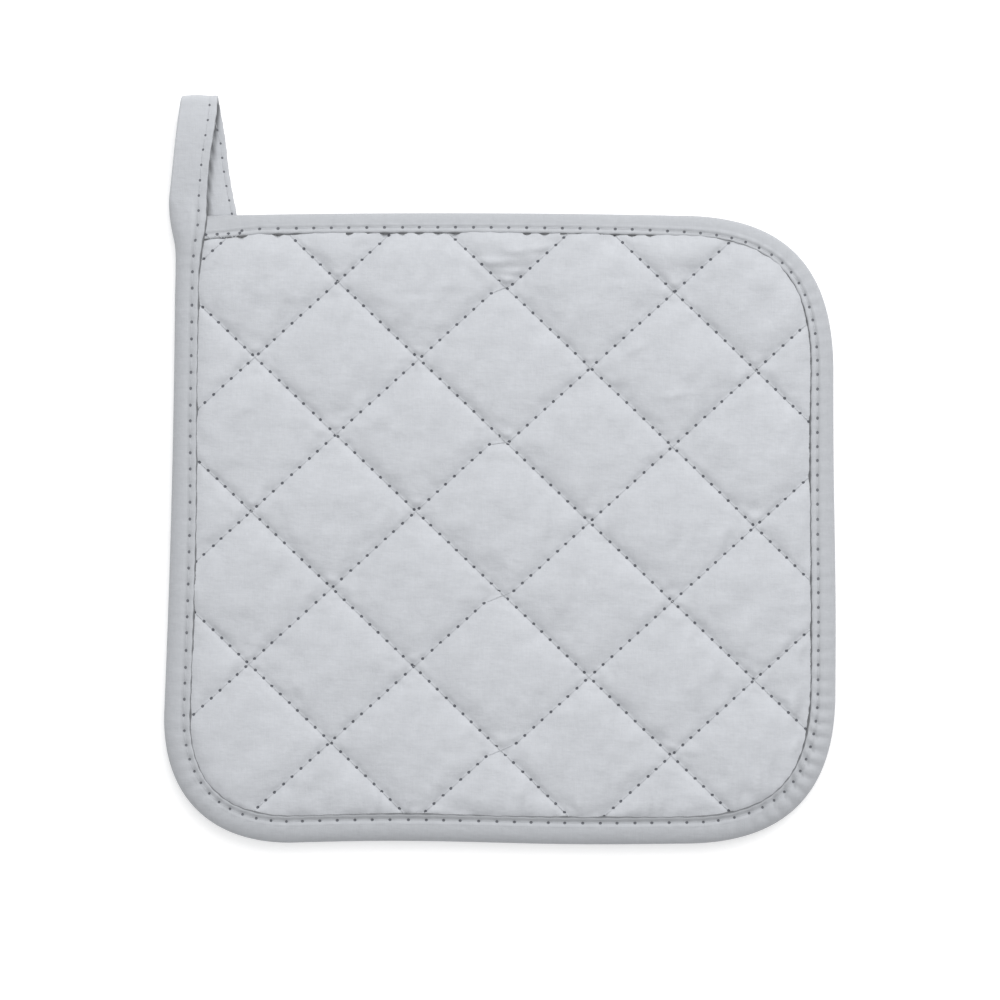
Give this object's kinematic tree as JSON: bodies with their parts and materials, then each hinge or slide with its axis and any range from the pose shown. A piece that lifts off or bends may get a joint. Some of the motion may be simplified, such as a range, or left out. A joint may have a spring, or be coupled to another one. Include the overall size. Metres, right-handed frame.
{
  "type": "pot holder",
  "caption": "Square quilted cotton pot holder with rounded corners, a bound edge and a folded tape hanging loop at one corner.",
  "frame": {"origin": "middle of the whole outline, loop included, on the surface that the pot holder lies on", "axes": "+Z out of the front face, +Y from the lower edge towards the hanging loop, +X to the right seen from the front"},
  "size_m": [0.2205, 0.247, 0.01],
  "materials": {
    "cover_cloth": "fine plain-weave cotton, pale cool grey with a faint silvery sheen",
    "binding_cloth": "the cover's cotton cut on the bias and folded into tape",
    "wadding": "lofty needled fibre",
    "quilting_thread": "fine polyester sewing thread, same grey as the cloth",
    "binding_thread": "fine polyester sewing thread, same grey as the cloth"
  },
  "bodies": {
    "pad": {"back_cover": "cover_cloth", "back_wadding": "wadding", "binding_bobbin_thread": "binding_thread", "binding_needle_thread": "binding_thread", "corner_tack_thread": "binding_thread", "edge_binding": "binding_cloth", "falling_row_1_bobbin_thread": "quilting_thread", "falling_row_1_needle_thread": "quilting_thread", "falling_row_2_bobbin_thread": "quilting_thread", "falling_row_2_needle_thread": "quilting_thread", "falling_row_3_bobbin_thread": "quilting_thread", "falling_row_3_needle_thread": "quilting_thread", "falling_row_4_bobbin_thread": "quilting_thread", "falling_row_4_needle_thread": "quilting_thread", "falling_row_5_bobbin_thread": "quilting_thread", "falling_row_5_needle_thread": "quilting_thread", "falling_row_6_bobbin_thread": "quilting_thread", "falling_row_6_needle_thread": "quilting_thread", "front_cover": "cover_cloth", "front_wadding": "wadding", "rising_row_1_bobbin_thread": "quilting_thread", "rising_row_1_needle_thread": "quilting_thread", "rising_row_2_bobbin_thread": "quilting_thread", "rising_row_2_needle_thread": "quilting_thread", "rising_row_3_bobbin_thread": "quilting_thread", "rising_row_3_needle_thread": "quilting_thread", "rising_row_4_bobbin_thread": "quilting_thread", "rising_row_4_needle_thread": "quilting_thread", "rising_row_5_bobbin_thread": "quilting_thread", "rising_row_5_needle_thread": "quilting_thread", "rising_row_6_bobbin_thread": "quilting_thread", "rising_row_6_needle_thread": "quilting_thread", "rising_row_7_bobbin_thread": "quilting_thread", "rising_row_7_needle_thread": "quilting_thread"},
    "loop": {"hanging_loop": "binding_cloth", "loop_front_thread": "binding_thread", "loop_rear_thread": "binding_thread"}
  },
  "joints": [
    {"name": "loop_root", "type": "hinge", "parent": "pad", "child": "loop", "pos_m": [-0.0985, 0.0861, 0.005], "axis": [1, 0, 0], "range_deg": [-105, 105]}
  ]
}
